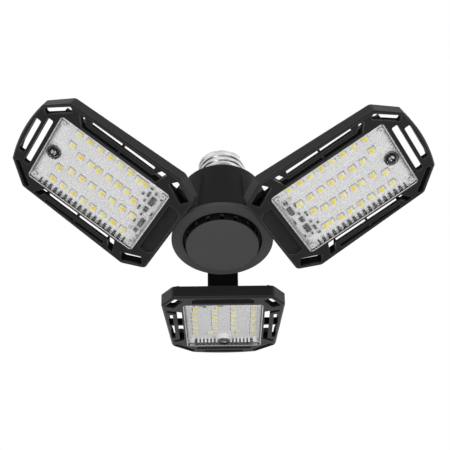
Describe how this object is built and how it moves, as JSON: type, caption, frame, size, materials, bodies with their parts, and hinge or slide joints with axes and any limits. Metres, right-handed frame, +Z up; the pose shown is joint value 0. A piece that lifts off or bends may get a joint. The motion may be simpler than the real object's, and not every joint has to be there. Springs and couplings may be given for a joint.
{
  "type": "deformable garage light",
  "caption": "Screw-base ceiling light with a round hub and three octagonal LED panels that fold on hinges to aim the light.",
  "frame": {"origin": "on the hub's axis at the foot of the threaded shell, where it leaves the housing", "axes": "+Z up the screw base to the ceiling socket, +Y towards the rear panel, -Y towards the viewer between the left and right panels"},
  "size_m": [0.2141, 0.1925, 0.0766],
  "materials": {
    "nickel": "bright nickel plate on a rolled thread",
    "insulator": "black glazed insulator",
    "solder": "tinned contact disc",
    "black_plastic": "satin black moulded plastic",
    "grey_black_plastic": "fine-grained dark grey plastic",
    "black_screw": "black oxide screws",
    "steel_screw": "zinc-plated screws",
    "black_sink": "pressed aluminium, painted black",
    "white_board": "white solder mask on an aluminium core",
    "green_board": "green solder mask",
    "phosphor": "LED packages, alternately warm and cool phosphor",
    "black_parts": "moulded component bodies",
    "clear_lens": "clear plastic with a fine prismatic pattern",
    "washer": "plain nylon",
    "lead": "insulated two-core lead"
  },
  "bodies": {
    "hub": {"screw_shell": "nickel", "shell_insulator": "insulator", "centre_contact": "solder", "hub_housing": "grey_black_plastic", "hub_ring": "grey_black_plastic", "hub_cap": "grey_black_plastic", "cap_screws": "black_screw", "junction_board": "green_board", "junction_parts": "black_parts", "junction_screws": "steel_screw", "base_leads": "lead", "left_hinge_pin": "black_screw", "left_hinge_bush": "black_screw", "left_hinge_washers": "washer", "left_hub_lead": "lead", "right_hinge_pin": "black_screw", "right_hinge_bush": "black_screw", "right_hinge_washers": "washer", "right_hub_lead": "lead", "rear_hinge_pin": "black_screw", "rear_hinge_bush": "black_screw", "rear_hinge_washers": "washer", "rear_hub_lead": "lead"},
    "left_panel": {"left_frame": "black_plastic", "left_heat_sink": "black_sink", "left_back_screws": "steel_screw", "left_led_board": "white_board", "left_led_chips": "phosphor", "left_driver_parts": "black_parts", "left_lens": "clear_lens", "left_lens_screw": "black_screw", "left_hinge_arm": "black_plastic", "left_arm_screws": "steel_screw", "left_panel_lead": "lead"},
    "right_panel": {"right_frame": "black_plastic", "right_heat_sink": "black_sink", "right_back_screws": "steel_screw", "right_led_board": "white_board", "right_led_chips": "phosphor", "right_driver_parts": "black_parts", "right_lens": "clear_lens", "right_lens_screw": "black_screw", "right_hinge_arm": "black_plastic", "right_arm_screws": "steel_screw", "right_panel_lead": "lead"},
    "rear_panel": {"rear_frame": "black_plastic", "rear_heat_sink": "black_sink", "rear_back_screws": "steel_screw", "rear_led_board": "white_board", "rear_led_chips": "phosphor", "rear_driver_parts": "black_parts", "rear_lens": "clear_lens", "rear_lens_screw": "black_screw", "rear_hinge_arm": "black_plastic", "rear_arm_screws": "steel_screw", "rear_panel_lead": "lead"}
  },
  "joints": [
    {"name": "left_panel_fold", "type": "hinge", "parent": "hub", "child": "left_panel", "pos_m": [-0.01689, -0.00975, -0.0277], "axis": [-0.5, 0.866, 0], "range_deg": [-23, 67]},
    {"name": "right_panel_fold", "type": "hinge", "parent": "hub", "child": "right_panel", "pos_m": [0.01689, -0.00975, -0.0277], "axis": [-0.5, -0.866, 0], "range_deg": [-17.2, 72.8]},
    {"name": "rear_panel_fold", "type": "hinge", "parent": "hub", "child": "rear_panel", "pos_m": [0, 0.0195, -0.0277], "axis": [1, 0, 0], "range_deg": [-18.9, 71.1]}
  ]
}
